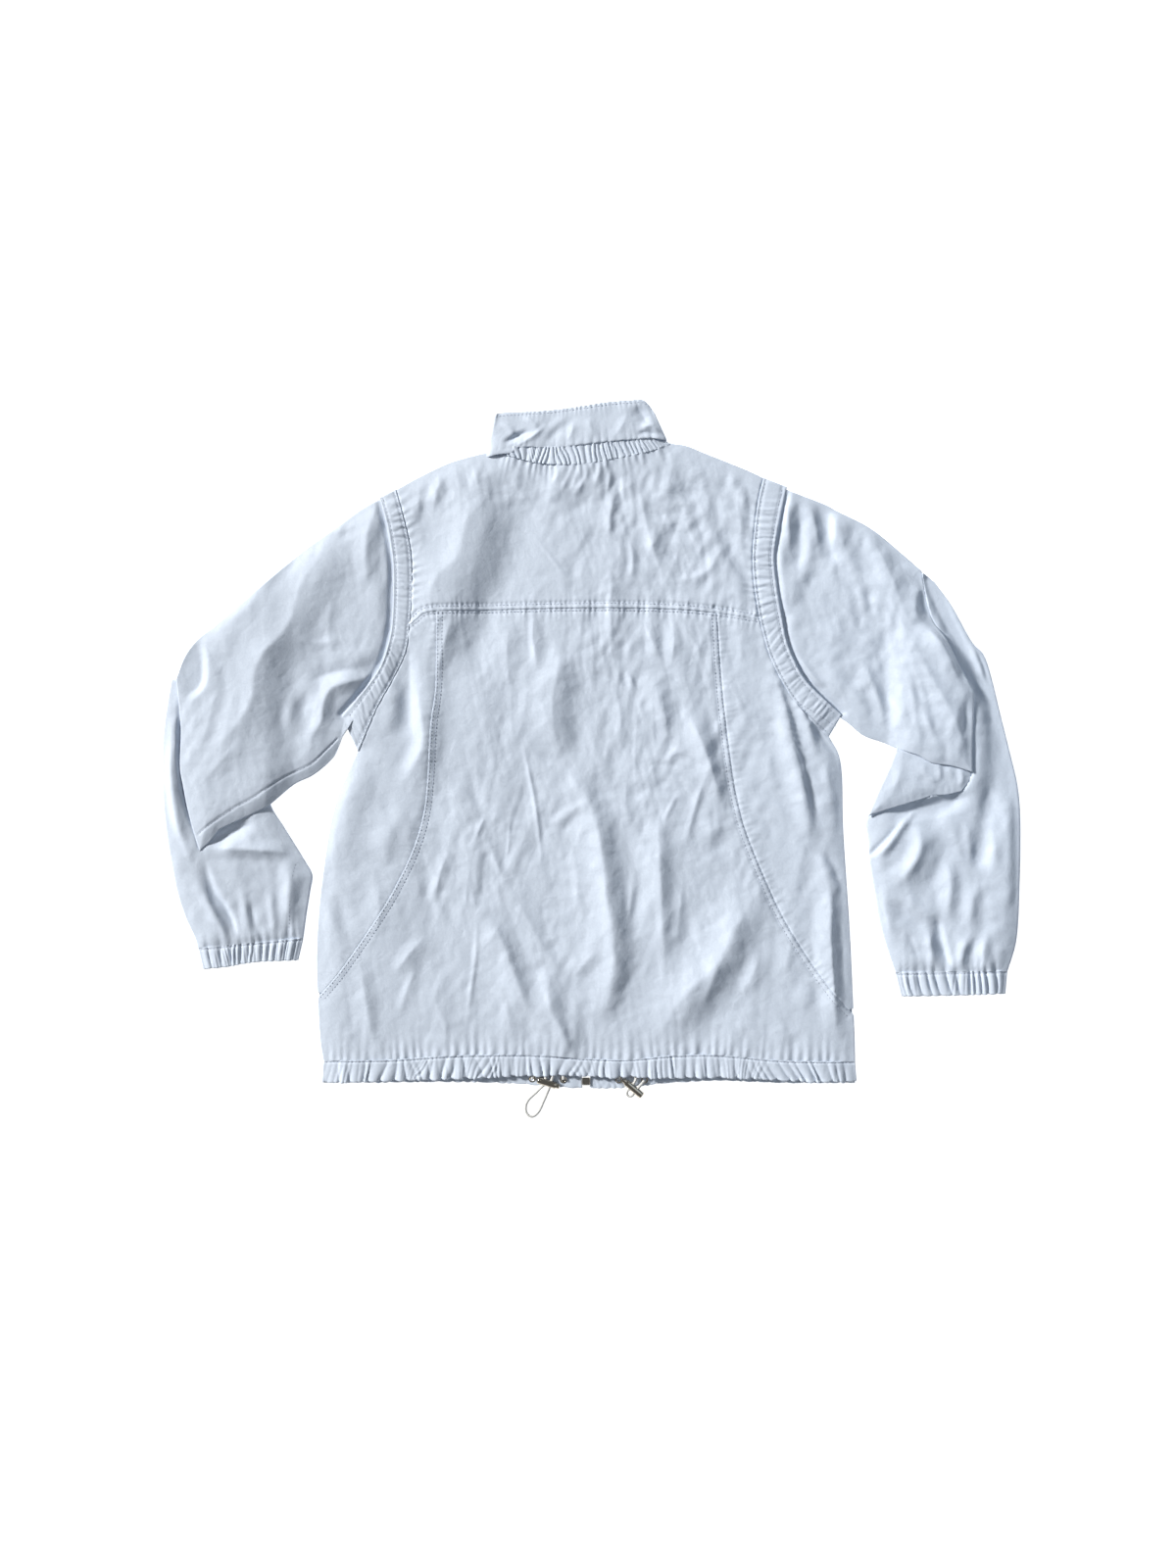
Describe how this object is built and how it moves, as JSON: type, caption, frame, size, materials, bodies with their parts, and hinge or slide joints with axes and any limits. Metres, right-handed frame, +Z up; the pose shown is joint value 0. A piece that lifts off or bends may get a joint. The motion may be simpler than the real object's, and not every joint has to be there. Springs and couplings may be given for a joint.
{
  "type": "zip windbreaker jacket",
  "caption": "Light zip jacket laid flat with its back up: stand collar, gathered neckband, back yoke, long sleeves folded at the elbows, elastic cuffs and a corded hem.",
  "frame": {"origin": "on the surface that it lies on, under the middle of the jacket's own outline, cords and cord locks left out", "axes": "+X to the right across the sleeves, seen with the back up and the collar away from the viewer; +Y towards the collar; +Z up, out of the back"},
  "size_m": [0.8743, 0.7312, 0.0134],
  "materials": {
    "shell_cloth": "crisp plain-weave polyester with a soft sheen, pale blue",
    "zip_tape": "woven zip tape, pale blue",
    "zip_metal": "bright nickel",
    "lock_metal": "polished metal",
    "elastic_cord": "white braided elastic"
  },
  "bodies": {
    "root": {"back_yoke": "shell_cloth", "back_centre": "shell_cloth", "back_side_left": "shell_cloth", "back_side_right": "shell_cloth", "front_left": "shell_cloth", "front_right": "shell_cloth", "collar": "shell_cloth", "neckband": "shell_cloth", "armhole_band_left": "shell_cloth", "armhole_band_right": "shell_cloth", "sleeve_left": "shell_cloth", "sleeve_right": "shell_cloth", "cuff_left": "shell_cloth", "cuff_right": "shell_cloth", "hem_back": "shell_cloth", "hem_front_left": "shell_cloth", "hem_front_right": "shell_cloth", "zip_tape_left": "zip_tape", "zip_tape_right": "zip_tape", "zip_chain": "zip_metal", "zip_slider": "zip_metal", "zip_box": "zip_metal", "eyelet_1": "lock_metal", "eyelet_2": "lock_metal", "eyelet_3": "lock_metal", "eyelet_4": "lock_metal", "cord_lock_left": "lock_metal", "cord_lock_right": "lock_metal", "drawcord_left": "elastic_cord", "drawcord_right": "elastic_cord"},
    "pull_tab": {"zip_pull": "zip_metal"},
    "left_plunger": {"plunger_left": "lock_metal"},
    "right_plunger": {"plunger_right": "lock_metal"}
  },
  "joints": [
    {"name": "pull_tab_hinge", "type": "hinge", "parent": "root", "child": "pull_tab", "pos_m": [-0.01193, 0.279, 0.00145], "axis": [1, 0, 0], "range_deg": [0, 170]},
    {"name": "left_plunger_press", "type": "slide", "parent": "root", "child": "left_plunger", "axis": [-0.9563, 0.2924, 0], "range_m": [0, 0.0025], "stiffness_N_per_m": 600},
    {"name": "right_plunger_press", "type": "slide", "parent": "root", "child": "right_plunger", "axis": [0.766, -0.6428, 0], "range_m": [0, 0.0025], "stiffness_N_per_m": 600}
  ]
}
